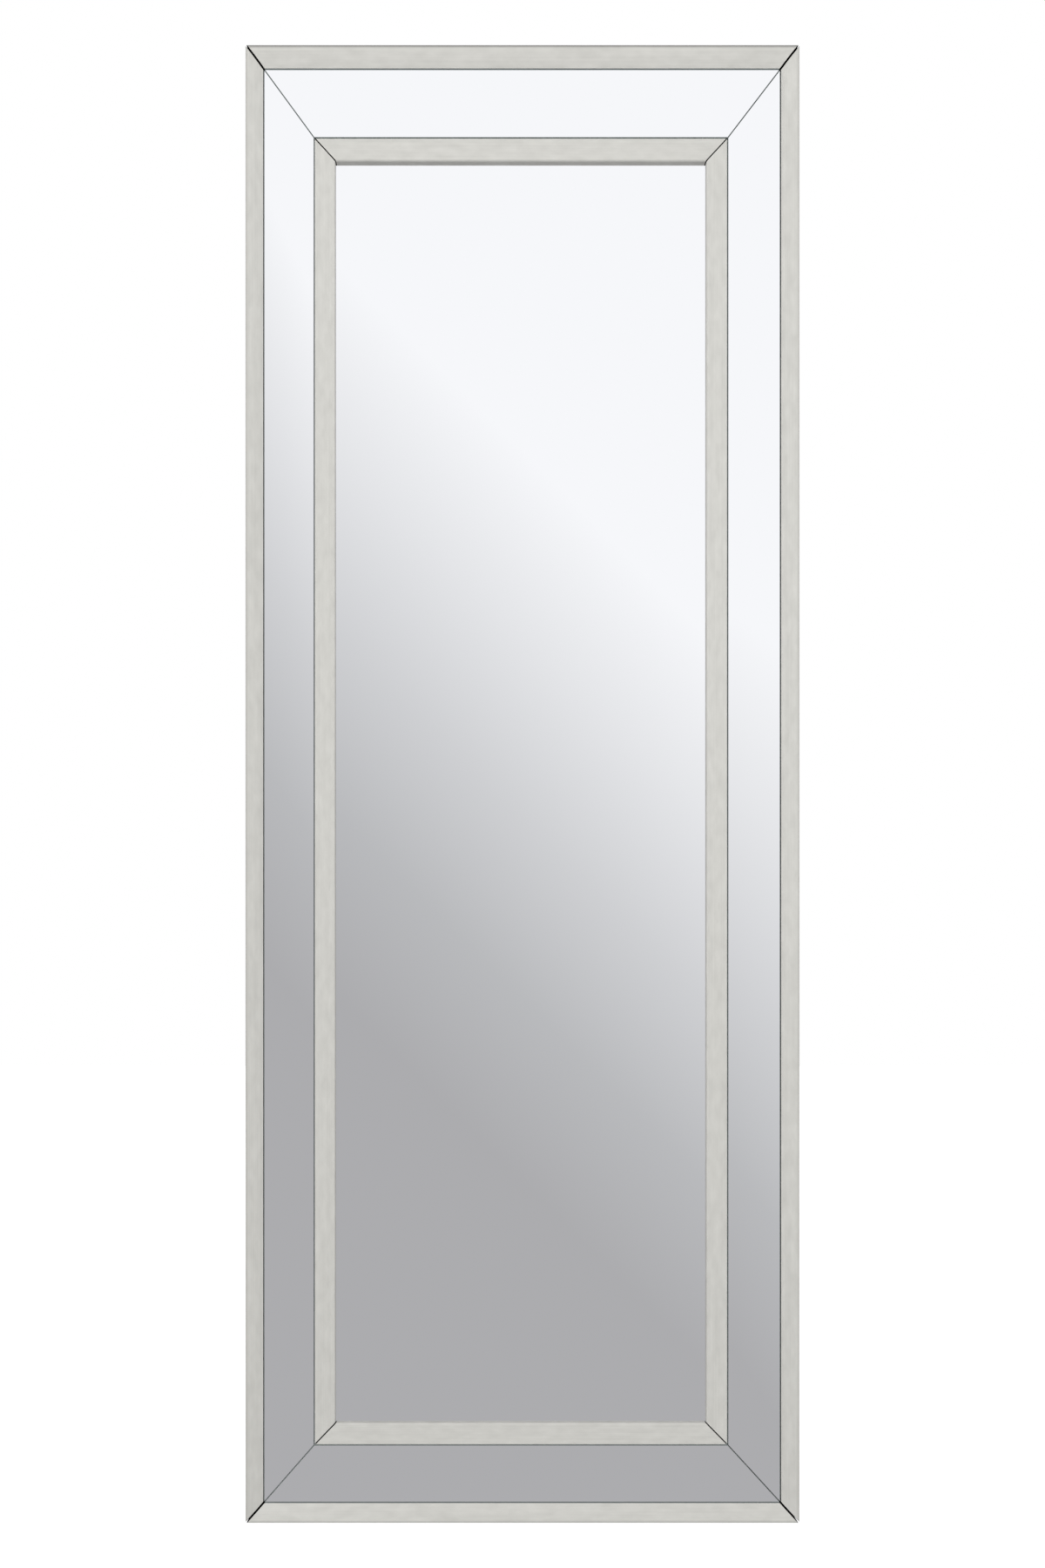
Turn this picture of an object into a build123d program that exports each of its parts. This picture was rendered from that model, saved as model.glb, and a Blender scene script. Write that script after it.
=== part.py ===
from build123d import *
import math
import os

# Full-length wall mirror: a mitred silver moulding, a ring of four sloping mirror
# strips, a mitred silver bead and a sunk centre mirror, on battens and a back panel.
# Millimetres. X runs across, Z up, the wall is the plane y = 0 and the glass faces -Y.
# The origin is the middle of the wall plane, behind the middle of the mirror.

os.makedirs("parts", exist_ok=True)

# Overall size and the way it stands off the wall
WIDTH = 600.0
HEIGHT = 1600.0
PAD_THICKNESS = 2.0
PAD_DIAMETER = 8.0
PAD_INSET = 40.0

# Outer moulding: its front falls inward in line with the strips, and is a little crowned
RAIL_WIDTH = 17.4
RAIL_DEPTH = 51.5
RAIL_FALL = 7.4
RAIL_CROWN = 0.6
RAIL_ARRIS = 0.6
RAIL_NOSE = 1.2
REBATE_WIDTH = 7.0
BACK_RECESS = 6.0
RAIL_GAP = 1.7

# Back panel and the centre mirror that is taped to it
PANEL_THICKNESS = 4.0
PANEL_CLEARANCE = 0.5
TAPE_THICKNESS = 1.0
TAPE_WIDTH = 25.0
MIRROR_TAPES = 3
MIRROR_THICKNESS = 4.0
MIRROR_ARRIS = 0.5
MIRROR_CLEARANCE = 1.0

# Ring of sloping mirror strips
STRIP_WIDTH = 54.8
STRIP_THICKNESS = 2.0
STRIP_SLOPE = 25.0
STRIP_SINK = 7.7
STRIP_CLEARANCE = 0.2
STRIP_ARRIS = 0.3
STRIP_GAP = 1.3
STRIP_TAPE_WIDTH = 20.0

# Inner bead that holds the centre mirror's edge
BEAD_WIDTH = 22.6
BEAD_HEIGHT = 10.7
BEAD_FALL = 2.4
BEAD_ARRIS = 0.5
BEAD_NOSE = 2.0
BEAD_LAP = 9.0
BEAD_GAP = 1.1
BEAD_SEAM = 1.0

# Battens under the sloping strips
BATTEN_GAP = 0.6
BATTEN_SEAM = 0.5

# V nails that draw the outer corners together, one to a corner
NAIL_INSET = 4.7
NAIL_REACH = 2.2
NAIL_SPREAD = 3.0
NAIL_THICKNESS = 0.6
NAIL_LENGTH = 7.0
FIT = 0.05

# Countersunk screws that hold the back panel to the battens
SCREW_RADIUS = 1.75
SCREW_LENGTH = 16.0
SCREW_HEAD_RADIUS = 3.5
SCREW_TIP = 3.0
SCREW_SLOT = 1.0
SCREW_SLOT_DEPTH = 1.2
SIDE_SCREWS = 5
SIDE_SCREW_PITCH = 320.0
END_SCREWS = 3
END_SCREW_PITCH = 180.0

# Hanging hardware: a folded steel strap that carries a D ring, at each side
HANGER_HEIGHT = 480.0
STRAP_WIDTH = 14.0
STRAP_METAL = 1.0
STRAP_SLIT = 0.1
STRAP_THROAT = 3.0
STRAP_CORNER = 4.0
STRAP_END = 7.0
RING_WIRE = 1.4
RING_WIDTH = 24.0
RING_REACH = 20.0
RING_CORNER = 4.0
RING_SPLIT = 0.4
RING_CLEARANCE = 0.05
HANGER_SCREW_PITCH = 14.0
HANGER_SCREW_LENGTH = 18.0
PAN_HEAD_RADIUS = 3.5
PAN_HEAD_HEIGHT = 2.2
PAN_HEAD_ARRIS = 0.8
RING_ROOM = 2.0

# Levels forward of the wall
rail_back = PAD_THICKNESS
rail_front = rail_back + RAIL_DEPTH
panel_back = rail_back + BACK_RECESS
panel_front = panel_back + PANEL_THICKNESS
mirror_back = panel_front + TAPE_THICKNESS
mirror_front = mirror_back + MIRROR_THICKNESS

# Places inward from the outer face
rebate_edge = RAIL_WIDTH - REBATE_WIDTH
panel_edge = rebate_edge + PANEL_CLEARANCE
slope = math.radians(STRIP_SLOPE)
strip_start = RAIL_WIDTH + STRIP_CLEARANCE + STRIP_THICKNESS * math.sin(slope)
strip_front = rail_front - STRIP_SINK
strip_end = strip_start + STRIP_WIDTH * math.cos(slope)
bead_start = strip_end + BEAD_SEAM
bead_end = bead_start + BEAD_WIDTH
bead_front = panel_front + BEAD_HEIGHT
bead_leg = bead_end - BEAD_LAP - MIRROR_CLEARANCE
mirror_edge = bead_end - BEAD_LAP
batten_end = bead_start - BATTEN_SEAM
batten_middle = (RAIL_WIDTH + batten_end) / 2


def batten_front(inward):
    """Height of the battens' sloping face, under the tape and the glass."""
    below = (STRIP_THICKNESS + TAPE_THICKNESS) / math.cos(slope)
    return strip_front - (inward - strip_start) * math.tan(slope) - below


# One plane per side of the frame: local x runs inward, local y forward, z along it
SIDES = {
    "left": (Plane(origin=(-WIDTH / 2, 0, 0), x_dir=(1, 0, 0), z_dir=(0, 0, -1)), HEIGHT),
    "right": (Plane(origin=(WIDTH / 2, 0, 0), x_dir=(-1, 0, 0), z_dir=(0, 0, 1)), HEIGHT),
    "top": (Plane(origin=(0, 0, HEIGHT / 2), x_dir=(0, 0, -1), z_dir=(-1, 0, 0)), WIDTH),
    "bottom": (Plane(origin=(0, 0, -HEIGHT / 2), x_dir=(0, 0, 1), z_dir=(1, 0, 0)), WIDTH),
}


def mitre_planes(side, gap):
    """The two 45 degree planes that trim a side, each set back by half the joint's gap."""
    plane, length = SIDES[side]
    planes = []
    for end in (-1, 1):
        along = plane.z_dir * end
        facing = (-along - plane.x_dir).normalized()
        corner = plane.origin + along * (length / 2)
        planes.append(Plane(origin=corner + facing * (gap / 2), z_dir=facing))
    return planes


def write(piece, name):
    piece.part.label = name
    export_step(piece.part, f"parts/{name}.step")


def rail_section():
    outer_corner = (0, rail_front)
    inner_corner = (RAIL_WIDTH, rail_front - RAIL_FALL)
    with BuildLine() as outline:
        SagittaArc(outer_corner, inner_corner, RAIL_CROWN)
        Polyline(
            inner_corner,
            (RAIL_WIDTH, panel_front),
            (rebate_edge, panel_front),
            (rebate_edge, rail_back),
            (0, rail_back),
            outer_corner,
        )
    make_face(outline.edges())
    arris, nose = vertices().sort_by(Axis.Y)[-2:].sort_by(Axis.X)
    fillet(arris, RAIL_ARRIS)
    fillet(nose, RAIL_NOSE)


def batten_section():
    with BuildLine() as outline:
        Polyline(
            (RAIL_WIDTH, panel_front),
            (RAIL_WIDTH, batten_front(RAIL_WIDTH)),
            (batten_end, batten_front(batten_end)),
            (batten_end, panel_front),
            close=True,
        )
    make_face(outline.edges())


def strip_section():
    with Locations((strip_start, strip_front)):
        Rectangle(STRIP_WIDTH, STRIP_THICKNESS, rotation=-STRIP_SLOPE, align=(Align.MIN, Align.MAX))
    facing = Axis((0, 0, 0), (math.sin(slope), math.cos(slope), 0))
    chamfer(vertices().sort_by(facing)[-2:], STRIP_ARRIS)


def strip_tape_section():
    along = Vector(math.cos(slope), -math.sin(slope))
    below = Vector(-math.sin(slope), -math.cos(slope))
    middle = Vector(strip_start, strip_front) + along * (STRIP_WIDTH / 2) + below * STRIP_THICKNESS
    with Locations(middle):
        Rectangle(
            STRIP_TAPE_WIDTH, TAPE_THICKNESS, rotation=-STRIP_SLOPE, align=(Align.CENTER, Align.MAX)
        )


def bead_section():
    with BuildLine() as outline:
        FilletPolyline(
            (bead_start, panel_front),
            (bead_start, bead_front),
            (bead_end, bead_front - BEAD_FALL),
            (bead_end, mirror_front),
            (bead_leg, mirror_front),
            (bead_leg, panel_front),
            radius=[0, BEAD_ARRIS, BEAD_NOSE, 0, 0, 0],
            close=True,
        )
    make_face(outline.edges())


def mitred_side(side, section, gap):
    """A section run along one side of the frame and mitred at both ends."""
    plane, length = SIDES[side]
    with BuildPart() as piece:
        with BuildSketch(plane):
            section()
        extrude(amount=length / 2, both=True)
        for trim in mitre_planes(side, gap):
            split(bisect_by=trim, keep=Keep.TOP)
    return piece


# V nails: each lies across a mitre in the rear face, with its point outward
def nail_plane(side_x, side_z):
    column = side_x * (WIDTH / 2 - NAIL_INSET)
    row = side_z * (HEIGHT / 2 - NAIL_INSET)
    return Plane(origin=(column, -rail_back, row), x_dir=(-side_x, 0, -side_z), z_dir=(0, -1, 0))


def nail_section(room):
    """The nail's V, or its slot when there is room round it."""
    with BuildLine() as outline:
        Polyline(
            (-NAIL_REACH - room, 0),
            (NAIL_REACH - room, NAIL_SPREAD),
            (NAIL_REACH + NAIL_THICKNESS + room, NAIL_SPREAD),
            (-NAIL_REACH + NAIL_THICKNESS + room, 0),
            (NAIL_REACH + NAIL_THICKNESS + room, -NAIL_SPREAD),
            (NAIL_REACH - room, -NAIL_SPREAD),
            close=True,
        )
    make_face(outline.edges())


nail_places = [nail_plane(x, z) for x in (-1, 1) for z in (-1, 1)]

with BuildPart() as v_nails:
    for place in nail_places:
        with BuildSketch(place):
            nail_section(0)
        extrude(amount=NAIL_LENGTH)
write(v_nails, "v_nails")

# Outer moulding: two stiles and two rails with slots for the V nails
RAIL_NAMES = {
    "left": "outer_stile_left",
    "right": "outer_stile_right",
    "top": "outer_rail_top",
    "bottom": "outer_rail_bottom",
}
for side, name in RAIL_NAMES.items():
    with BuildPart() as rail:
        add(mitred_side(side, rail_section, RAIL_GAP).part)
        for place in nail_places:
            with BuildSketch(place):
                nail_section(FIT)
            extrude(amount=NAIL_LENGTH + FIT, mode=Mode.SUBTRACT)
    write(rail, name)

# Screw places on the back, over the middle of the battens
side_column = WIDTH / 2 - batten_middle
end_row = HEIGHT / 2 - batten_middle
side_rise = SIDE_SCREW_PITCH * (SIDE_SCREWS - 1) / 2
end_run = END_SCREW_PITCH * (END_SCREWS - 1) / 2
panel_screw_places = []
for step in range(SIDE_SCREWS):
    z = -side_rise + SIDE_SCREW_PITCH * step
    panel_screw_places += [(-side_column, z), (side_column, z)]
for step in range(END_SCREWS):
    x = -end_run + END_SCREW_PITCH * step
    panel_screw_places += [(x, -end_row), (x, end_row)]

# Hanger places: the first screw stays clear of the ring as it lies on the strap
first_screw = RING_REACH + RING_WIRE + PAN_HEAD_RADIUS + RING_ROOM
hanger_drops = (first_screw, first_screw + HANGER_SCREW_PITCH)
strap_length = hanger_drops[-1] + STRAP_END
hanger_screw_places = []
for x in (-side_column, side_column):
    for drop in hanger_drops:
        hanger_screw_places.append((x, HANGER_HEIGHT - drop))


def rear_plane(level):
    """A plane that faces the wall at a level forward of it, with x across and y up."""
    return Plane(origin=(0, -level, 0), x_dir=(-1, 0, 0), z_dir=(0, 1, 0))


def on_rear(places):
    return [(-x, z) for x, z in places]


# Battens: wedges under the strips, drilled for the screws
for side in SIDES:
    with BuildPart() as batten:
        add(mitred_side(side, batten_section, BATTEN_GAP).part)
        with BuildSketch(rear_plane(panel_front)):
            with Locations(*on_rear(panel_screw_places)):
                Circle(SCREW_RADIUS + FIT)
        extrude(amount=-(SCREW_LENGTH - PANEL_THICKNESS + FIT), mode=Mode.SUBTRACT)
        with BuildSketch(rear_plane(panel_front)):
            with Locations(*on_rear(hanger_screw_places)):
                Circle(SCREW_RADIUS + FIT)
        strap_stack = 2 * STRAP_METAL + STRAP_SLIT
        hanger_bite = HANGER_SCREW_LENGTH - strap_stack - PANEL_THICKNESS
        extrude(amount=-(hanger_bite + FIT), mode=Mode.SUBTRACT)
    write(batten, f"bevel_batten_{side}")

# Sloping mirror strips and the tape under them
for side in SIDES:
    write(mitred_side(side, strip_section, STRIP_GAP), f"strip_mirror_{side}")

with BuildPart() as strip_tape:
    for plane, length in SIDES.values():
        with BuildSketch(plane):
            strip_tape_section()
        extrude(amount=length / 2 - bead_start, both=True)
write(strip_tape, "strip_tape")

# Inner bead
for side in SIDES:
    write(mitred_side(side, bead_section, BEAD_GAP), f"inner_bead_{side}")

# Centre mirror: float glass with ground front arrises
mirror_width = WIDTH - 2 * mirror_edge
mirror_height = HEIGHT - 2 * mirror_edge
with BuildPart() as centre_mirror:
    with BuildSketch(rear_plane(mirror_back)):
        Rectangle(mirror_width, mirror_height)
    extrude(amount=-MIRROR_THICKNESS)
    front = faces().sort_by(Axis.Y)[0]
    chamfer(front.edges(), MIRROR_ARRIS)
write(centre_mirror, "centre_mirror")

tape_step = (mirror_width - TAPE_WIDTH) / MIRROR_TAPES
with BuildPart() as mirror_tape:
    with BuildSketch(rear_plane(panel_front)):
        with GridLocations(tape_step, 1, MIRROR_TAPES, 1):
            Rectangle(TAPE_WIDTH, mirror_height - 2 * TAPE_WIDTH)
    extrude(amount=-TAPE_THICKNESS)
write(mirror_tape, "mirror_tape")

# Back panel, countersunk for its screws and drilled for the hangers
with BuildPart() as back_panel:
    with BuildSketch(rear_plane(panel_front)):
        Rectangle(WIDTH - 2 * panel_edge, HEIGHT - 2 * panel_edge)
    extrude(amount=PANEL_THICKNESS)
    with Locations(rear_plane(panel_back)):
        with Locations(*on_rear(panel_screw_places)):
            CounterSinkHole(SCREW_RADIUS + FIT, SCREW_HEAD_RADIUS + FIT, counter_sink_angle=90)
        with Locations(*on_rear(hanger_screw_places)):
            Hole(SCREW_RADIUS + FIT)
write(back_panel, "back_panel")


def screw_body(head_outline, length):
    """A screw on its own axis, head at y = 0 upward, point downward."""
    with BuildPart() as screw:
        with BuildSketch(Plane.XY):
            with BuildLine() as outline:
                Polyline(
                    *head_outline,
                    (SCREW_RADIUS, -length + SCREW_TIP),
                    (0, -length),
                    (0, head_outline[0][1]),
                    close=True,
                )
            make_face(outline.edges())
        revolve(axis=Axis.Y)
        with BuildSketch(Plane.XZ.offset(-head_outline[0][1])):
            slot_length = SCREW_HEAD_RADIUS + SCREW_RADIUS - SCREW_SLOT
            Rectangle(slot_length, SCREW_SLOT)
            Rectangle(SCREW_SLOT, slot_length)
        extrude(amount=SCREW_SLOT_DEPTH, mode=Mode.SUBTRACT)
    return screw.part


# Back panel screws: countersunk heads flush with the panel
head_depth = SCREW_HEAD_RADIUS - SCREW_RADIUS
countersunk = screw_body(
    [(0, 0), (SCREW_HEAD_RADIUS, 0), (SCREW_RADIUS, -head_depth)],
    SCREW_LENGTH,
)
with BuildPart() as back_panel_screws:
    for x, z in panel_screw_places:
        add(countersunk.moved(Location((x, -panel_back, z))))
write(back_panel_screws, "back_panel_screws")

# Hanger screws: pan heads down on the straps
pan_head = screw_body(
    [
        (0, PAN_HEAD_HEIGHT),
        (PAN_HEAD_RADIUS - PAN_HEAD_ARRIS, PAN_HEAD_HEIGHT),
        (PAN_HEAD_RADIUS, PAN_HEAD_HEIGHT - PAN_HEAD_ARRIS),
        (PAN_HEAD_RADIUS, 0),
        (SCREW_RADIUS, 0),
    ],
    HANGER_SCREW_LENGTH,
)
with BuildPart() as hanger_screws:
    for x, z in hanger_screw_places:
        add(pan_head.moved(Location((x, strap_stack - panel_back, z))))
write(hanger_screws, "hanger_screws")

# Strap: one strip of steel folded round the ring's bar, with both ends screwed down.
# In its profile x runs down from the bar and y out from the back panel.
bore = RING_WIRE + RING_CLEARANCE
bar_level = STRAP_METAL + bore
loop_radius = bore + STRAP_METAL
throat_rise = strap_stack + STRAP_THROAT - bar_level
throat_run = math.sqrt((loop_radius + STRAP_THROAT) ** 2 - throat_rise**2)
throat_angle = math.degrees(math.atan2(throat_rise, throat_run))


def strap_profile():
    with BuildLine() as outline:
        loop_middle = (0, bar_level)
        throat_middle = (throat_run, strap_stack + STRAP_THROAT)
        Line((strap_length, 0), (0, 0))
        CenterArc(loop_middle, loop_radius, throat_angle, 270 - throat_angle)
        CenterArc(throat_middle, STRAP_THROAT, 180 + throat_angle, 90 - throat_angle)
        Polyline(
            (throat_run, strap_stack),
            (strap_length, strap_stack),
            (strap_length, strap_stack - STRAP_METAL),
            (throat_run, strap_stack - STRAP_METAL),
        )
        CenterArc(throat_middle, STRAP_THROAT + STRAP_METAL, 180 + throat_angle, 90 - throat_angle)
        CenterArc(loop_middle, bore, throat_angle, 270 - throat_angle)
        Polyline((0, STRAP_METAL), (strap_length, STRAP_METAL), (strap_length, 0))
    make_face(outline.edges())


# Ring: round wire bent to a D, its ends meeting inside the strap's loop. At rest it
# hangs down with its round end lying on the strap, which sets how far it leans out.
half_ring = RING_WIDTH / 2
lying_reach = RING_REACH - half_ring + math.sqrt(half_ring**2 - (STRAP_WIDTH / 2) ** 2)
ring_lean = math.asin((strap_stack + RING_WIRE + RING_CLEARANCE - bar_level) / lying_reach)


def ring_path(plane):
    straight = half_ring - RING_CORNER
    with BuildLine(plane) as path:
        Line((RING_SPLIT / 2, 0), (straight, 0))
        CenterArc((straight, RING_CORNER), RING_CORNER, -90, 90)
        Line((half_ring, RING_CORNER), (half_ring, RING_REACH - half_ring))
        CenterArc((0, RING_REACH - half_ring), half_ring, 0, 180)
        Line((-half_ring, RING_REACH - half_ring), (-half_ring, RING_CORNER))
        CenterArc((-straight, RING_CORNER), RING_CORNER, 180, 90)
        Line((-straight, 0), (-RING_SPLIT / 2, 0))
    return path.wires()[0]


for side, x in (("left", -side_column), ("right", side_column)):
    fold_plane = Plane(
        origin=(x, -panel_back, HANGER_HEIGHT), x_dir=(0, 0, -1), z_dir=(1, 0, 0)
    )
    with BuildPart() as strap:
        with BuildSketch(fold_plane):
            strap_profile()
        extrude(amount=STRAP_WIDTH / 2, both=True)
        tail_corners = edges().filter_by(Axis.Y).group_by(Axis.Z)[0]
        fillet(tail_corners, STRAP_CORNER)
        with BuildSketch(rear_plane(panel_back)):
            with Locations(*on_rear(hanger_screw_places)):
                Circle(SCREW_RADIUS + FIT)
        extrude(amount=strap_stack, mode=Mode.SUBTRACT)
    write(strap, f"hanger_strap_{side}")

    ring_plane = Plane(
        origin=(x, bar_level - panel_back, HANGER_HEIGHT),
        x_dir=(1, 0, 0),
        z_dir=(0, math.cos(ring_lean), math.sin(ring_lean)),
    )
    path = ring_path(ring_plane)
    with BuildPart() as ring:
        with BuildSketch(Plane(origin=path @ 0, z_dir=path % 0)):
            Circle(RING_WIRE)
        sweep(path=path)
    write(ring, f"hanger_ring_{side}")

# Soft pads that keep the moulding off the wall
pad_column = WIDTH / 2 - rebate_edge / 2
with BuildPart() as wall_pads:
    with BuildSketch(rear_plane(rail_back)):
        with GridLocations(2 * pad_column, HEIGHT - 2 * PAD_INSET, 2, 2):
            Circle(PAD_DIAMETER / 2)
    extrude(amount=PAD_THICKNESS)
write(wall_pads, "wall_pads")
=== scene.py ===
import bpy
import numpy as np
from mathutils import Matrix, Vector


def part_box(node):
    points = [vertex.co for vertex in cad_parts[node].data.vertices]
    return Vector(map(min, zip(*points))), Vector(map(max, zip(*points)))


# Full-length wall mirror: finishes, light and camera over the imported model.
# Metres. X runs across, Z up, the wall is y = 0 and the glass faces -Y.
MM = 0.001

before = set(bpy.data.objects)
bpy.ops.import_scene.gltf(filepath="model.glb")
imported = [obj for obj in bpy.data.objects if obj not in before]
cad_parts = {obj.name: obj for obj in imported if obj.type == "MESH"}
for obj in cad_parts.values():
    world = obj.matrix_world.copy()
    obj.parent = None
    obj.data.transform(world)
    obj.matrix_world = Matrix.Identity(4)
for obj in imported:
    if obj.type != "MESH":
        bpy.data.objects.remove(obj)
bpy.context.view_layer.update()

# Sizes of the mirror that the finishes need. A mitre shade is how far from a mitre a near-black
# band of painted shade reaches, and the painted line fades out over the soft edge. The edge
# shade is the width of the painted shade along the outer edge.
HALF_WIDTH, HALF_HEIGHT = 0.300, 0.800
STRIP_SLOPE = np.radians(25.0)
EDGE_SHADE_WIDTH = 3.2 * MM
RAIL_MITRE_SHADE = 1.1 * MM
BEAD_MITRE_SHADE = 0.67 * MM
SOFT_EDGE = 0.03 * MM
ROOT_TWO = 1.414
front_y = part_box("outer_stile_left")[0][1]
floor_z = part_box("outer_rail_bottom")[0][2]
glass_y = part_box("centre_mirror")[0][1]
rebate_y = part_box("back_panel")[0][1]

# The photograph's frame: its height in pixels, its scale, and where the eye stands
PHOTO_HEIGHT = 1800
PIXELS_PER_METRE = 1060.6
EYE_DISTANCE = 0.900
EYE_RIGHT = -0.050
EYE_UP = -0.2425

# The axis that a piece runs along, and which of its long walls is meant
ACROSS, UPWARD = 0, 2
INNER, OUTER = -1, 1


# Colour and node helpers


def colour(code):
    """An sRGB hex value as linear red, green and blue, with an alpha of 1."""
    parts = np.array([int(code[i : i + 2], 16) for i in (1, 3, 5)]) / 255
    linear = np.where(parts <= 0.04045, parts / 12.92, ((parts + 0.055) / 1.055) ** 2.4)
    return (*linear.tolist(), 1.0)


def node(tree, kind, settings=None, **inputs):
    """Adds a node, sets its properties, and links or sets each named input.

    An input is an output socket, a value, or a two-part key such as in_1 for the second
    input by number.
    """
    made = tree.nodes.new(kind)
    for name, value in (settings or {}).items():
        setattr(made, name, value)
    for key, value in inputs.items():
        if key.startswith("in_"):
            socket = made.inputs[int(key[3:])]
        else:
            socket = made.inputs[key.replace("_", " ")]
        if isinstance(value, bpy.types.NodeSocket):
            tree.links.new(value, socket)
        else:
            socket.default_value = value
    return made


def new_material(name):
    """An empty node material and its tree."""
    material = bpy.data.materials.new(name)
    material.use_nodes = True
    material.node_tree.nodes.clear()
    return material, material.node_tree


def finish_with(tree, shader):
    """Makes a shader the material's surface."""
    node(tree, "ShaderNodeOutputMaterial", in_0=shader.outputs[0])


def shade(tree, kind, a, b=0.0):
    """One step of arithmetic on two values or sockets."""
    return node(tree, "ShaderNodeMath", {"operation": kind}, in_0=a, in_1=b).outputs[0]


def band(tree, value, low, high):
    """0 below low, 1 above high, straight in between."""
    ranged = node(tree, "ShaderNodeMapRange", in_0=value, in_1=low, in_2=high)
    return ranged.outputs[0]


def mix(tree, share, a, b):
    """A colour between a and b."""
    mixed = node(tree, "ShaderNodeMix", {"data_type": "RGBA"}, in_0=share, in_6=a, in_7=b)
    return mixed.outputs[2]


def place_and_normal(tree):
    """Object coordinates, and the normal's x, y and z in the object's own axes."""
    coordinates = node(tree, "ShaderNodeTexCoord")
    parts = node(tree, "ShaderNodeSeparateXYZ", in_0=coordinates.outputs["Normal"])
    return coordinates.outputs["Object"], parts.outputs


def split(tree, place):
    """The x, y and z of a place."""
    return node(tree, "ShaderNodeSeparateXYZ", in_0=place).outputs


def stretched_noise(tree, place, size, detail):
    """Noise whose grain is size = (x, y, z) in metres."""
    scale = tuple(1 / s for s in size)
    mapped = node(tree, "ShaderNodeMapping", in_0=place, Scale=scale)
    made = node(tree, "ShaderNodeTexNoise", in_0=mapped.outputs[0], Scale=1.0, Detail=detail)
    return made.outputs[0]


def bump(tree, height, distance, strength):
    """A normal that is tilted by a pattern of this height, distance in metres."""
    made = node(tree, "ShaderNodeBump", Height=height, Distance=distance, Strength=strength)
    return made.outputs[0]


def raw_wood(tree, place, along):
    """Softwood: bands of grain a few millimetres wide along one axis."""
    size = [0.0035, 0.0035, 0.0035]
    size[along] = 0.12
    grain = stretched_noise(tree, place, size, 4.0)
    return mix(tree, band(tree, grain, 0.35, 0.7), colour("#b89468"), colour("#94704a")), grain


def facing(tree, normal, y, tolerance):
    """1 where a face's normal has this y, falling to 0 one tolerance away."""
    off = shade(tree, "ABSOLUTE", shade(tree, "SUBTRACT", normal[1], y))
    return band(tree, off, tolerance, tolerance * 0.5)


def mitred(tree, normal, least):
    """1 on a mitre's cut face, whose normal leans equally along X and Z."""
    lean = shade(tree, "ABSOLUTE", shade(tree, "MULTIPLY", normal[0], normal[2]))
    return band(tree, lean, least, least + 0.03)
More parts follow.
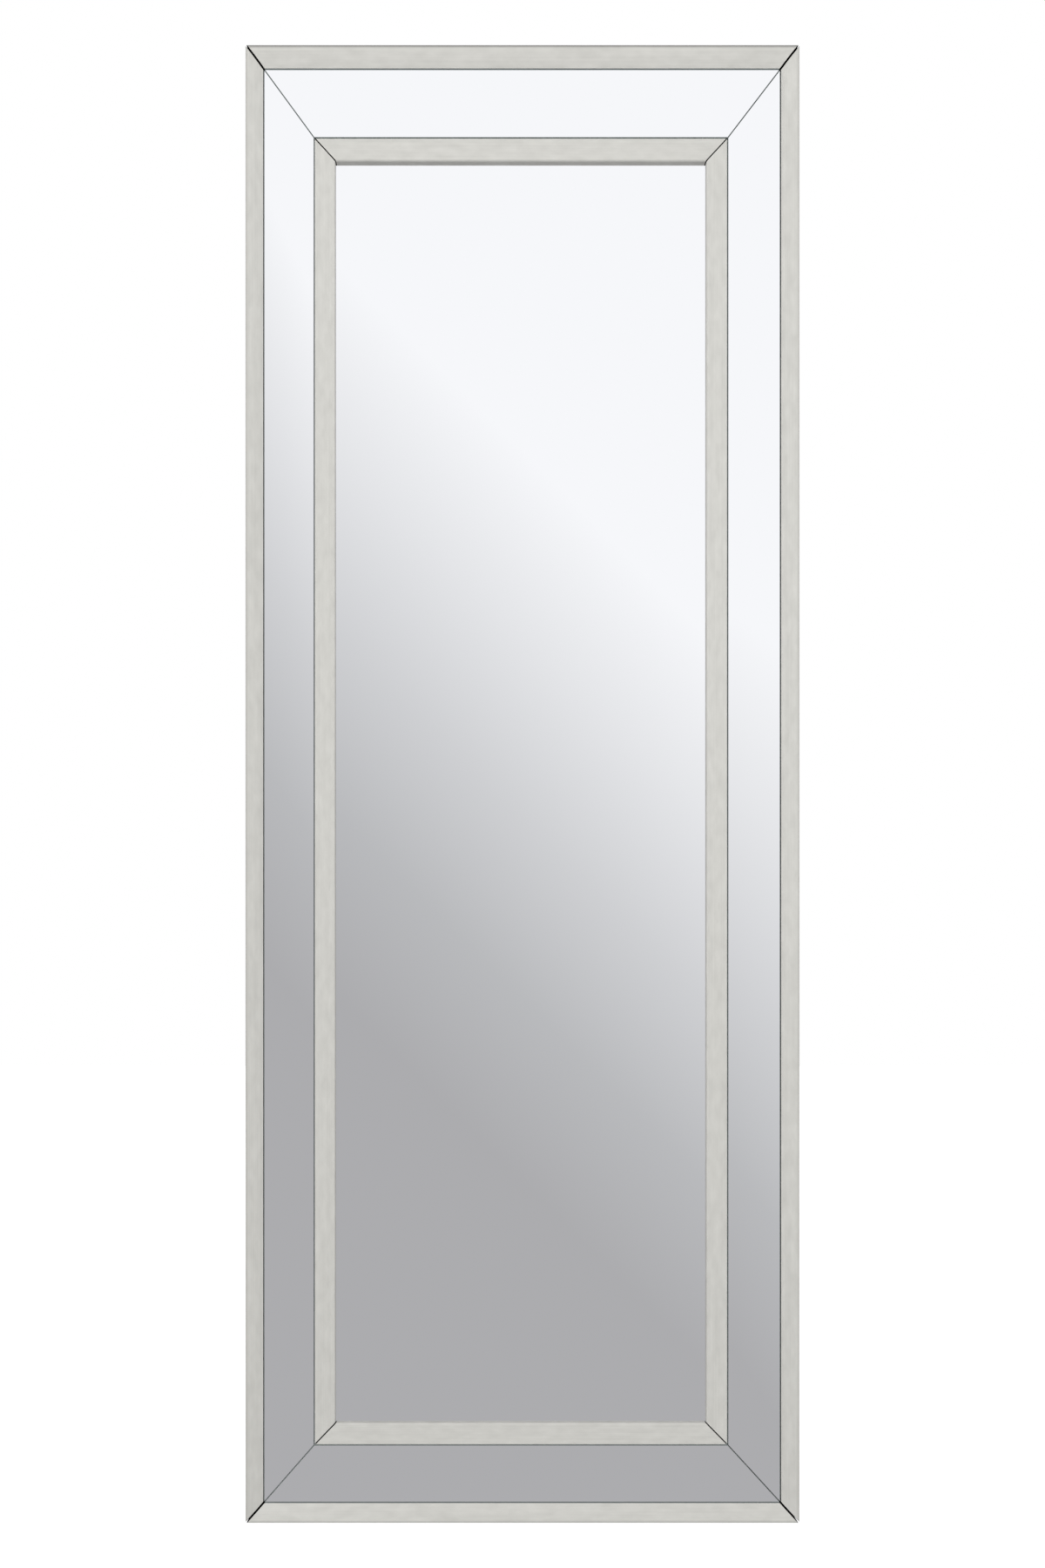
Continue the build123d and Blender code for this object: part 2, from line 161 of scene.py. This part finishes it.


# Brushed silver foil, wrapped round a wooden moulding and lacquered satin: the eye sees a
# warm pale grey with fine lengthwise streaks and cloudy patches. The mitres' cut ends, and a
# band beside them, are painted near-black as painted shade for the mitre gaps. The plumb wall
# beside the strips' glass is painted grey as painted shade for the seam, darker on the stiles
# than on the rails and beads, and the back and its rebate are bare wood. Along the outer edge
# the foil is painted darker over 3 mm as painted shade, near-black on the top rail.
def brushed_silver_foil(name, along, shaded_side, wall_shade_tone, mitre_shade_width, edge_shade_tone=None):
    """along is the streaks' axis, and shaded_side the wall that is painted wall_shade_tone as
    painted shade.

    mitre_shade_width is how far, square to a mitre's plane, a near-black band of painted shade
    reaches from it. edge_shade_tone is the painted shade tone along the mirror's outer edge,
    for the pieces that reach it.
    """
    material, tree = new_material(name)
    place, normal = place_and_normal(tree)
    streak = [0.0008, 0.0008, 0.0008]
    streak[along] = 0.25
    fine = stretched_noise(tree, place, streak, 2.0)
    wide = [0.007, 0.007, 0.007]
    wide[along] = 0.02
    cloudy = stretched_noise(tree, place, wide, 2.0)
    streaks = shade(tree, "MULTIPLY", fine, 0.4)
    clouds = shade(tree, "MULTIPLY", cloudy, 0.6)
    tone = shade(tree, "ADD", streaks, clouds)
    foil = mix(tree, band(tree, tone, 0.3, 0.7), colour("#bebdb8"), colour("#cccbc6"))
    parts = split(tree, place)
    absolute_x = shade(tree, "ABSOLUTE", parts[0])
    absolute_z = shade(tree, "ABSOLUTE", parts[2])
    from_middle = parts[2 - along]
    # Painted shade: along the mirror's outer edge the foil's outermost 3 mm is painted darker,
    # toward the given tone.
    if edge_shade_tone:
        reach = {UPWARD: HALF_WIDTH, ACROSS: HALF_HEIGHT}[along]
        to_edge = shade(tree, "ABSOLUTE", from_middle)
        edge_shade = band(tree, to_edge, reach - EDGE_SHADE_WIDTH, reach)
        foil = mix(tree, shade(tree, "POWER", edge_shade, 1.5), foil, colour(edge_shade_tone))
    wood, _ = raw_wood(tree, place, along)
    behind = band(tree, normal[1], 0.85, 0.95)
    # Painted shade: the plumb wall on one side is painted a flat grey tone, standing in for the
    # shade in the seam beside the strips' glass; inside the rebate it stays bare wood.
    which_half = shade(tree, "SIGN", from_middle)
    outward = shade(tree, "MULTIPLY", which_half, normal[2 - along])
    wall = band(tree, shade(tree, "MULTIPLY", outward, float(shaded_side)), 0.93, 0.97)
    in_rebate = shade(tree, "MULTIPLY", wall, band(tree, parts[1], rebate_y - 0.0002, rebate_y))
    wall = shade(tree, "SUBTRACT", wall, in_rebate)
    behind = shade(tree, "MAXIMUM", behind, in_rebate)
    surface = mix(tree, behind, foil, wood)
    surface = mix(tree, wall, surface, colour(wall_shade_tone))
    bare = shade(tree, "MAXIMUM", behind, wall)
    metal = shade(tree, "MULTIPLY", shade(tree, "SUBTRACT", 1.0, bare), 0.05)
    rough = shade(tree, "ADD", 0.36, shade(tree, "MULTIPLY", tone, 0.1))
    rough = shade(tree, "ADD", rough, shade(tree, "MULTIPLY", bare, 0.35))
    face = node(
        tree,
        "ShaderNodeBsdfPrincipled",
        Base_Color=surface,
        Metallic=metal,
        Roughness=rough,
        Normal=bump(tree, fine, 0.00002, 0.3),
    )
    face.inputs["Specular IOR Level"].default_value = 0.3
    # Painted shade: a near-black matt finish on the mitres' cut faces and on a band beside each
    # mitre, standing in for the shade in the mitre gaps.
    cut = node(tree, "ShaderNodeBsdfPrincipled", Base_Color=colour("#060505"), Roughness=0.9)
    cut.inputs["Specular IOR Level"].default_value = 0.0
    mitre_z = shade(tree, "ADD", absolute_x, HALF_HEIGHT - HALF_WIDTH)
    from_mitre = shade(tree, "ABSOLUTE", shade(tree, "SUBTRACT", absolute_z, mitre_z))
    in_mitre_shade = band(tree, from_mitre, mitre_shade_width * ROOT_TWO + SOFT_EDGE, mitre_shade_width * ROOT_TWO)
    shader = node(
        tree,
        "ShaderNodeMixShader",
        in_0=shade(tree, "MAXIMUM", mitred(tree, normal, 0.4), in_mitre_shade),
        in_1=face.outputs[0],
        in_2=cut.outputs[0],
    )
    finish_with(tree, shader)
    return material


# Silvered float glass: a true mirror on its front, a pale green edge with darker ground
# arrises round it, and the grey paint that seals the silver behind.
def silvered_glass(name, slope):
    material, tree = new_material(name)
    place, normal = place_and_normal(tree)
    front = facing(tree, normal, -float(np.cos(slope)), 0.02)
    edge_y = float(np.sin(slope))
    square = shade(
        tree, "MAXIMUM", facing(tree, normal, edge_y, 0.06), facing(tree, normal, -edge_y, 0.06)
    )
    sealed = band(tree, normal[1], 0.8, 0.86)
    fine = stretched_noise(tree, place, (0.0012, 0.0012, 0.0012), 3.0)
    ground = mix(tree, fine, colour("#5c6563"), colour("#828b88"))
    ground = mix(tree, square, ground, colour("#e2ebe9"))
    ground = mix(tree, mitred(tree, normal, 0.4), ground, colour("#b9c2c0"))
    surface = mix(tree, front, ground, colour("#fcfcfd"))
    surface = mix(tree, sealed, surface, colour("#6a6c6b"))
    rough = shade(tree, "MULTIPLY", shade(tree, "SUBTRACT", 1.0, front), 0.35)
    shader = node(
        tree,
        "ShaderNodeBsdfPrincipled",
        Base_Color=surface,
        Metallic=front,
        Roughness=rough,
    )
    finish_with(tree, shader)
    return material


# Sawn softwood of the battens, painted grey in front so that no seam shows pale
def sawn_softwood(name, along):
    material, tree = new_material(name)
    place, normal = place_and_normal(tree)
    wood, grain = raw_wood(tree, place, along)
    wood = mix(tree, band(tree, normal[1], 0.5, 0.6), colour("#a3a9a8"), wood)
    shader = node(
        tree,
        "ShaderNodeBsdfPrincipled",
        Base_Color=wood,
        Roughness=0.7,
        Normal=bump(tree, grain, 0.0002, 0.4),
    )
    finish_with(tree, shader)
    return material


# Hardboard of the back panel: pressed brown fibre, smooth, with fine flecks
def hardboard(name):
    material, tree = new_material(name)
    place, _ = place_and_normal(tree)
    fleck = stretched_noise(tree, place, (0.0015, 0.0015, 0.0022), 6.0)
    cloud = stretched_noise(tree, place, (0.09, 0.09, 0.13), 3.0)
    flecks = shade(tree, "MULTIPLY", fleck, 0.6)
    clouds = shade(tree, "MULTIPLY", cloud, 0.4)
    tone = shade(tree, "ADD", flecks, clouds)
    board = mix(tree, band(tree, tone, 0.35, 0.65), colour("#80603f"), colour("#a58158"))
    shader = node(
        tree,
        "ShaderNodeBsdfPrincipled",
        Base_Color=board,
        Roughness=0.62,
        Normal=bump(tree, fleck, 0.0001, 0.5),
    )
    finish_with(tree, shader)
    return material


# Closed-cell foam tape
def foam(name):
    material, tree = new_material(name)
    place, _ = place_and_normal(tree)
    cells = stretched_noise(tree, place, (0.0006, 0.0006, 0.0006), 3.0)
    tone = mix(tree, cells, colour("#dcdcd8"), colour("#f0f0ec"))
    shader = node(
        tree,
        "ShaderNodeBsdfPrincipled",
        Base_Color=tone,
        Roughness=0.85,
        Normal=bump(tree, cells, 0.0001, 0.5),
    )
    finish_with(tree, shader)
    return material


# Grey wool felt
def felt(name):
    material, tree = new_material(name)
    place, _ = place_and_normal(tree)
    hair = stretched_noise(tree, place, (0.0004, 0.0008, 0.0008), 5.0)
    tone = mix(tree, band(tree, hair, 0.3, 0.7), colour("#5c5a57"), colour("#8a8783"))
    shader = node(
        tree,
        "ShaderNodeBsdfPrincipled",
        Base_Color=tone,
        Roughness=0.95,
        Normal=bump(tree, hair, 0.0003, 0.8),
    )
    finish_with(tree, shader)
    return material


# Zinc-plated steel: a bright cool grey, a little blotched by the plating
def zinc_plate(name, base="#c3c6c8", shadow="#a9adb0", rough=0.3):
    material, tree = new_material(name)
    place, _ = place_and_normal(tree)
    blotch = stretched_noise(tree, place, (0.003, 0.003, 0.003), 4.0)
    tone = mix(tree, band(tree, blotch, 0.35, 0.65), colour(shadow), colour(base))
    spread = shade(tree, "ADD", rough, shade(tree, "MULTIPLY", blotch, 0.15))
    shader = node(
        tree,
        "ShaderNodeBsdfPrincipled",
        Base_Color=tone,
        Metallic=1.0,
        Roughness=spread,
    )
    finish_with(tree, shader)
    return material


def dress(name, material):
    """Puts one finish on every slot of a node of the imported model."""
    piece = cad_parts[name]
    for slot in piece.material_slots:
        slot.material = material
    if not piece.material_slots:
        piece.data.materials.append(material)


# The finishes of this mirror's pieces
# The tones given here are painted shade: the grey of each plumb wall, and the darker tone along
# the outer edge, near-black on the top rail.
stile_foil = brushed_silver_foil(
    "brushed silver foil, stiles", UPWARD, INNER, "#35373a", RAIL_MITRE_SHADE, "#abaaa5"
)
rail_foil = {
    side: brushed_silver_foil(
        f"brushed silver foil, {side} rail", ACROSS, INNER, "#8f9495", RAIL_MITRE_SHADE, edge_shade_tone
    )
    for side, edge_shade_tone in (("top", "#1c1c1b"), ("bottom", "#9b9c97"))
}
bead_foil_upright = brushed_silver_foil(
    "brushed silver foil, upright beads", UPWARD, OUTER, "#b9c0bf", BEAD_MITRE_SHADE
)
bead_foil_level = brushed_silver_foil(
    "brushed silver foil, level beads", ACROSS, OUTER, "#c3cccb", BEAD_MITRE_SHADE
)
wood_upright = sawn_softwood("sawn softwood, upright", UPWARD)
wood_level = sawn_softwood("sawn softwood, level", ACROSS)
strip_glass = silvered_glass("silvered glass, sloping strips", STRIP_SLOPE)
centre_glass = silvered_glass("silvered glass, centre", 0.0)
zinc = zinc_plate("zinc-plated steel")
nickel = zinc_plate("nickel-plated wire", "#d0cdc6", "#bcb8b0", 0.18)

for side in ("left", "right"):
    dress(f"outer_stile_{side}", stile_foil)
    dress(f"inner_bead_{side}", bead_foil_upright)
    dress(f"bevel_batten_{side}", wood_upright)
    dress(f"hanger_strap_{side}", zinc)
    dress(f"hanger_ring_{side}", nickel)
for side in ("top", "bottom"):
    dress(f"outer_rail_{side}", rail_foil[side])
    dress(f"inner_bead_{side}", bead_foil_level)
    dress(f"bevel_batten_{side}", wood_level)
for side in ("left", "right", "top", "bottom"):
    dress(f"strip_mirror_{side}", strip_glass)
dress("centre_mirror", centre_glass)
dress("back_panel", hardboard("hardboard"))
dress("strip_tape", foam("foam tape"))
dress("mirror_tape", foam("foam tape, centre"))
dress("wall_pads", felt("wool felt"))
for name in ("back_panel_screws", "hanger_screws", "v_nails"):
    dress(name, zinc)


# Studio


def sheet(name, middle, across, up):
    """A flat sheet: middle + s * across + t * up, for s and t from -1/2 to 1/2."""
    s, t = np.meshgrid([-0.5, 0.5], [-0.5, 0.5])
    points = (
        np.array(middle)
        + s.ravel()[:, None] * np.array(across)
        + t.ravel()[:, None] * np.array(up)
    )
    mesh = bpy.data.meshes.new(name)
    mesh.from_pydata(points.tolist(), [], [(0, 1, 3, 2)])
    piece = bpy.data.objects.new(name, mesh)
    bpy.context.scene.collection.objects.link(piece)
    return piece


def seen_by_eye_or_gloss(tree):
    """1 for camera, glossy and transmission rays, 0 for the rays that carry light."""
    path = node(tree, "ShaderNodeLightPath")
    seen = shade(tree, "MAXIMUM", path.outputs["Is Camera Ray"], path.outputs["Is Glossy Ray"])
    return shade(tree, "MAXIMUM", seen, path.outputs["Is Transmission Ray"])


# Floor: pale, white to the eye, with the mirror's soft shadow kept
def studio_floor():
    """Matt grey to light, and the same grey with a glow added to the eye."""
    material, tree = new_material("studio floor")
    pale = node(tree, "ShaderNodeBsdfDiffuse", Color=colour("#b6b6b6"))
    glow = node(tree, "ShaderNodeEmission", Color=colour("#ffffff"), Strength=0.85)
    both = node(tree, "ShaderNodeAddShader", in_0=pale.outputs[0], in_1=glow.outputs[0])
    chosen = node(
        tree,
        "ShaderNodeMixShader",
        in_0=seen_by_eye_or_gloss(tree),
        in_1=pale.outputs[0],
        in_2=both.outputs[0],
    )
    finish_with(tree, chosen)
    floor = sheet("studio_floor", (0, 0, floor_z), (14, 0, 0), (0, 14, 0))
    floor.data.materials.append(material)
    floor.visible_glossy = False


# Graded sheet: what the mirrors show. It hangs close in front, seen by gloss alone, and
# runs from grey at its lower left to white at its upper right, as a studio's sheet does.
# To gloss that follows a matt bounce it shows one even tone.
GRADE_AHEAD = 0.060
GRADE_WHITE = 0.430
GRADE_GREY = -0.446
WORLD_LIGHT = 0.62


def graded_sheet():
    """The sheet and its tones along the diagonal, from GRADE_GREY to GRADE_WHITE."""
    material, tree = new_material("graded studio sheet")
    place = node(tree, "ShaderNodeTexCoord").outputs["Object"]
    parts = node(tree, "ShaderNodeSeparateXYZ", in_0=place)
    diagonal = shade(tree, "ADD", parts.outputs[0], parts.outputs[2])
    share = band(tree, diagonal, GRADE_GREY, GRADE_WHITE)
    ramp = node(tree, "ShaderNodeValToRGB", in_0=share)
    stops = ramp.color_ramp.elements
    tones = ("#aeaeb0", "#bbbcbe", "#d1d2d4", "#e7e8ea", "#f9fafc")
    while len(stops) < len(tones):
        stops.new(0.5)
    for step, tone in enumerate(tones):
        stops[step].position = step / (len(tones) - 1)
        stops[step].color = colour(tone)
    path = node(tree, "ShaderNodeLightPath")
    second_hand = shade(tree, "GREATER_THAN", path.outputs["Diffuse Depth"], 0.5)
    tone = mix(tree, second_hand, ramp.outputs[0], colour("#e2e2e4"))
    glow = node(tree, "ShaderNodeEmission", Color=tone, Strength=1.0)
    finish_with(tree, glow)
    material.cycles.emission_sampling = "NONE"
    card = sheet("graded_sheet", (0, glass_y - GRADE_AHEAD, 0), (9, 0, 0), (0, 0, 9))
    card.data.materials.append(material)
    card.visible_camera = False
    card.visible_diffuse = False
    card.visible_transmission = False
    card.visible_volume_scatter = False
    card.visible_shadow = False


def studio_world():
    """White to the eye. For light and gloss it grows a little toward zenith and nadir."""
    world = bpy.data.worlds.new("studio")
    bpy.context.scene.world = world
    world.use_nodes = True
    tree = world.node_tree
    tree.nodes.clear()
    direction = node(tree, "ShaderNodeTexCoord").outputs["Generated"]
    height = shade(tree, "ABSOLUTE", split(tree, direction)[2])
    level = node(
        tree,
        "ShaderNodeMapRange",
        {"interpolation_type": "SMOOTHSTEP"},
        in_0=height,
        in_1=0.15,
        in_2=0.95,
        in_3=WORLD_LIGHT,
        in_4=WORLD_LIGHT * 1.15,
    )
    path = node(tree, "ShaderNodeLightPath").outputs
    seen = shade(tree, "MAXIMUM", path["Is Camera Ray"], path["Is Transmission Ray"])
    strength = node(
        tree,
        "ShaderNodeMix",
        {"data_type": "FLOAT"},
        in_0=seen,
        in_2=level.outputs[0],
        in_3=1.0,
    )
    light = node(tree, "ShaderNodeBackground", in_0=colour("#ffffff"), in_1=strength.outputs[0])
    node(tree, "ShaderNodeOutputWorld", in_0=light.outputs[0])


def soft_lamp(name, place, aim, size, power):
    """A square soft box at place that faces aim."""
    lamp = bpy.data.lights.new(name, "AREA")
    lamp.shape = "SQUARE"
    lamp.size = size
    lamp.energy = power
    piece = bpy.data.objects.new(name, lamp)
    bpy.context.scene.collection.objects.link(piece)
    piece.location = place
    away = np.array(place) - np.array(aim)
    yaw = np.arctan2(away[0], -away[1])
    pitch = np.arctan2(np.hypot(away[0], away[1]), away[2])
    piece.rotation_euler = (pitch, 0, yaw)
    piece.visible_camera = False
    piece.visible_glossy = False


def photo_camera():
    """Level and square on, below and left of the middle, with the frame shifted back."""
    data = bpy.data.cameras.new("photo")
    data.sensor_fit = "VERTICAL"
    data.sensor_height = 36.0
    frame_height = PHOTO_HEIGHT / PIXELS_PER_METRE
    data.lens = data.sensor_height * EYE_DISTANCE / frame_height
    data.shift_x = -EYE_RIGHT / frame_height
    data.shift_y = -EYE_UP / frame_height
    camera = bpy.data.objects.new("photo", data)
    camera.location = (EYE_RIGHT, front_y - EYE_DISTANCE, EYE_UP)
    camera.rotation_euler = (np.pi / 2, 0, 0)
    bpy.context.scene.collection.objects.link(camera)
    bpy.context.scene.camera = camera


studio_floor()
graded_sheet()
studio_world()
soft_lamp("key", (1.5, -8.0, 2.5), (0, 0, 0), 4.0, 255)
soft_lamp("fill", (-3.0, -5.0, 0.5), (0, 0, 0), 4.0, 130)
soft_lamp("back", (0.8, 2.6, 1.4), (0, 0, 0), 2.0, 50)
photo_camera()
bpy.context.scene.view_settings.view_transform = "Standard"
